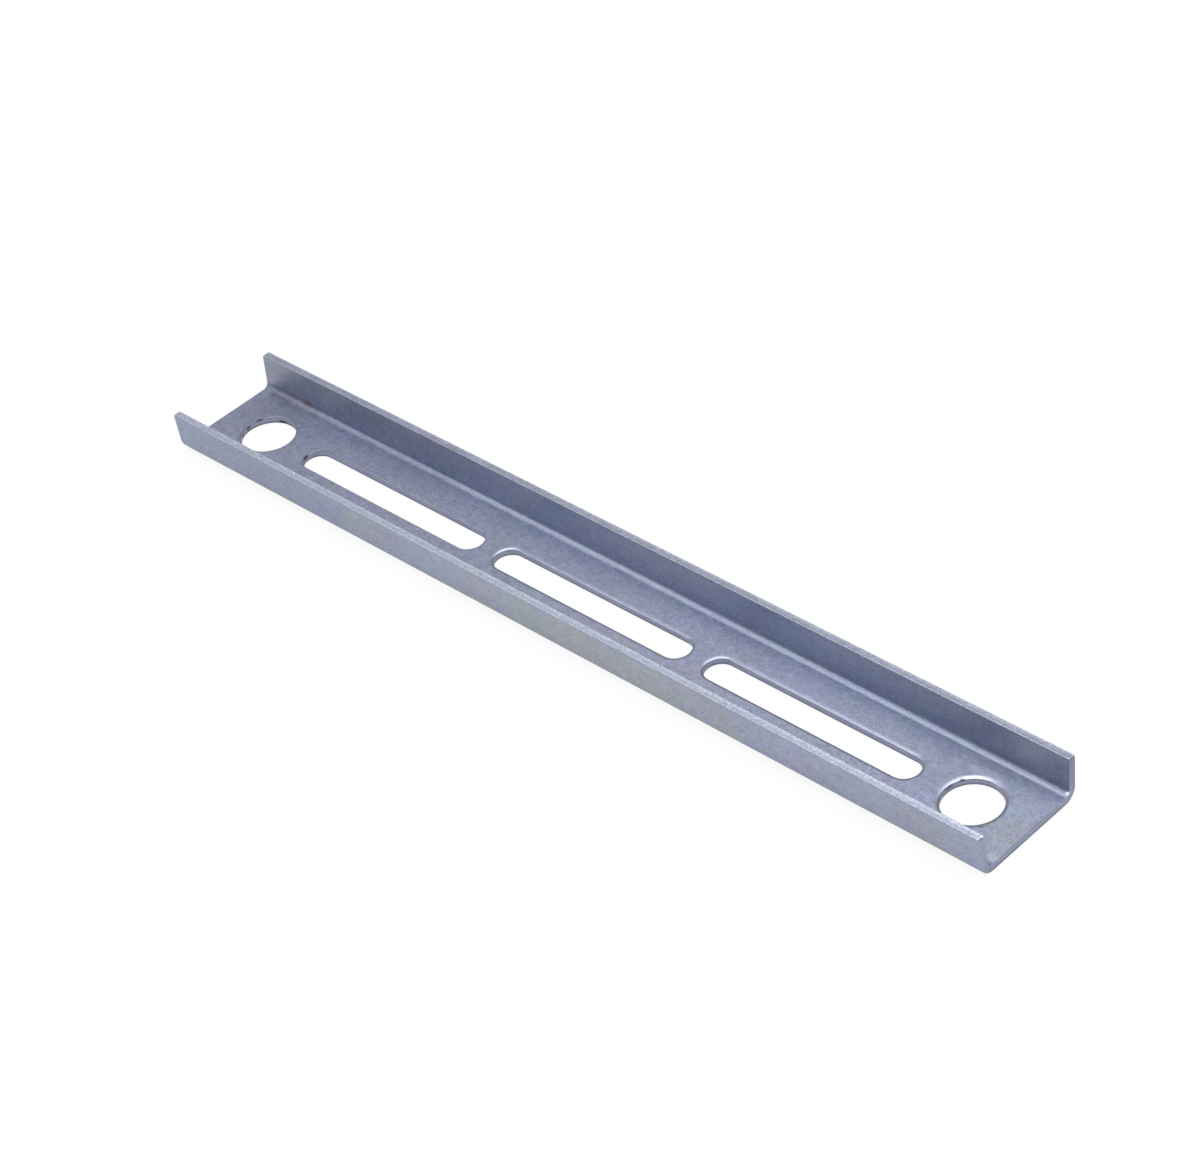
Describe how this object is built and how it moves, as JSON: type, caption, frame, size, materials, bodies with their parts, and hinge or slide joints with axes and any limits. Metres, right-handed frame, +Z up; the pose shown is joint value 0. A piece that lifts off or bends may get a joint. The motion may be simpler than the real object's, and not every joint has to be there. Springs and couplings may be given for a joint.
{
  "type": "slotted metal channel",
  "caption": "Shallow U-shaped channel folded from plated steel sheet, with a row of long slots along its web and a round bolt hole near each end.",
  "frame": {"origin": "middle of the web's underside, halfway along the channel and halfway across it", "axes": "+X along the channel, +Y across it, +Z up from the underside towards the open side between the flanges"},
  "size_m": [0.2, 0.025, 0.009],
  "materials": {
    "zinc_plated_steel": "bright zinc plating, satin, with a bluish cast"
  },
  "bodies": {
    "root": {"slotted_channel": "zinc_plated_steel"}
  },
  "joints": []
}
